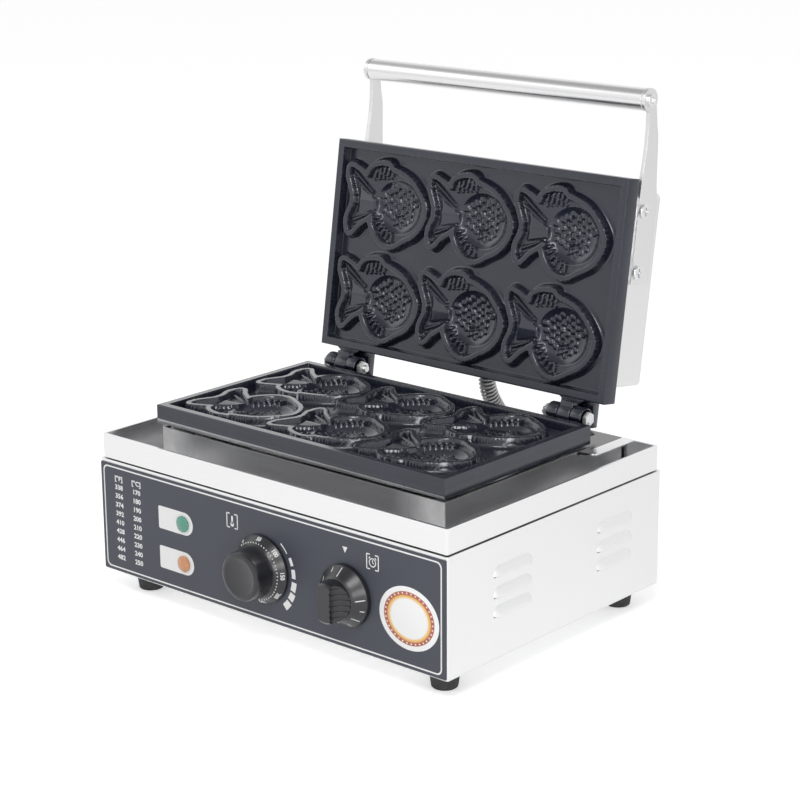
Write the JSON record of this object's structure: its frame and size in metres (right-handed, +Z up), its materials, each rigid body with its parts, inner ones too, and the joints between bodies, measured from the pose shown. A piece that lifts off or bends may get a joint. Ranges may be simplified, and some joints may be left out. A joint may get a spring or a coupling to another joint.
{
  "type": "taiyaki maker",
  "caption": "Countertop cooker for fish-shaped cakes: hinged cast mould plates over a drip tray, sheet metal box with two dials and lamps, and a bar handle on the lid.",
  "frame": {"origin": "centre of the cooker's outline on the surface that its feet stand on, lid open", "axes": "+Z up, the dials face -Y, +X to the right as seen from the front"},
  "size_m": [0.3868, 0.351, 0.4248],
  "materials": {
    "stainless": "brushed stainless steel sheet",
    "handle_steel": "satin stainless steel tube",
    "overlay": "printed plastic overlay, satin",
    "cast_plate": "cast aluminium with a black non-stick coating",
    "element": "tubular heating element, oxidised steel",
    "copper": "copper",
    "plated_steel": "plated steel",
    "collar": "plated collar",
    "green_lens": "clear green plastic",
    "orange_lens": "clear orange plastic",
    "control_body": "moulded plastic",
    "knob": "moulded black plastic",
    "gland": "black nylon",
    "foot_rubber": "black rubber",
    "cable_jacket": "black heat-proof jacket"
  },
  "bodies": {
    "base": {"housing": "stainless", "bottom_plate": "stainless", "control_panel": "overlay", "drip_tray": "stainless", "plinth": "stainless", "lower_plate": "cast_plate", "lower_heater": "element", "plate_posts": "plated_steel", "sensor_bulb": "copper", "power_lamp_body": "collar", "power_lamp_lens": "green_lens", "heat_lamp_body": "collar", "heat_lamp_lens": "orange_lens", "thermostat_body": "control_body", "timer_body": "control_body", "dial_screws": "plated_steel", "terminal_block": "control_body", "mains_gland": "gland", "foot_front_left": "foot_rubber", "foot_front_right": "foot_rubber", "foot_rear_left": "foot_rubber", "foot_rear_right": "foot_rubber", "foot_screws": "plated_steel", "bottom_screws": "plated_steel", "hinge_bolt_left": "plated_steel", "hinge_bolt_right": "plated_steel", "hinge_nut_left": "plated_steel", "hinge_nut_right": "plated_steel", "base_gland": "gland", "conduit_spring": "plated_steel", "lid_cable": "cable_jacket"},
    "lid": {"upper_plate": "cast_plate", "lid_cover": "stainless", "upper_heater": "element", "cover_posts": "plated_steel", "cover_screws": "plated_steel", "handle_arm_left": "stainless", "handle_arm_right": "stainless", "arm_screws_left": "plated_steel", "arm_screws_right": "plated_steel", "handle_bar": "handle_steel", "handle_end_screws": "plated_steel", "lid_gland": "gland"},
    "thermostat_dial": {"thermostat_shaft": "plated_steel", "thermostat_knob": "knob"},
    "timer_dial": {"timer_shaft": "plated_steel", "timer_knob": "knob"}
  },
  "joints": [
    {"name": "lid_hinge", "type": "hinge", "parent": "base", "child": "lid", "pos_m": [0, 0.08588, 0.1613], "axis": [1, 0, 0], "range_deg": [0, 98.69], "deforming": ["conduit_spring", "lid_cable"]},
    {"name": "thermostat_turn", "type": "hinge", "parent": "base", "child": "thermostat_dial", "pos_m": [0, -0.14782, 0.0642], "axis": [0, 1, 0], "range_deg": [0, 270]},
    {"name": "timer_turn", "type": "hinge", "parent": "base", "child": "timer_dial", "pos_m": [0.0898, -0.14782, 0.0642], "axis": [0, 1, 0], "range_deg": [0, 300]}
  ]
}
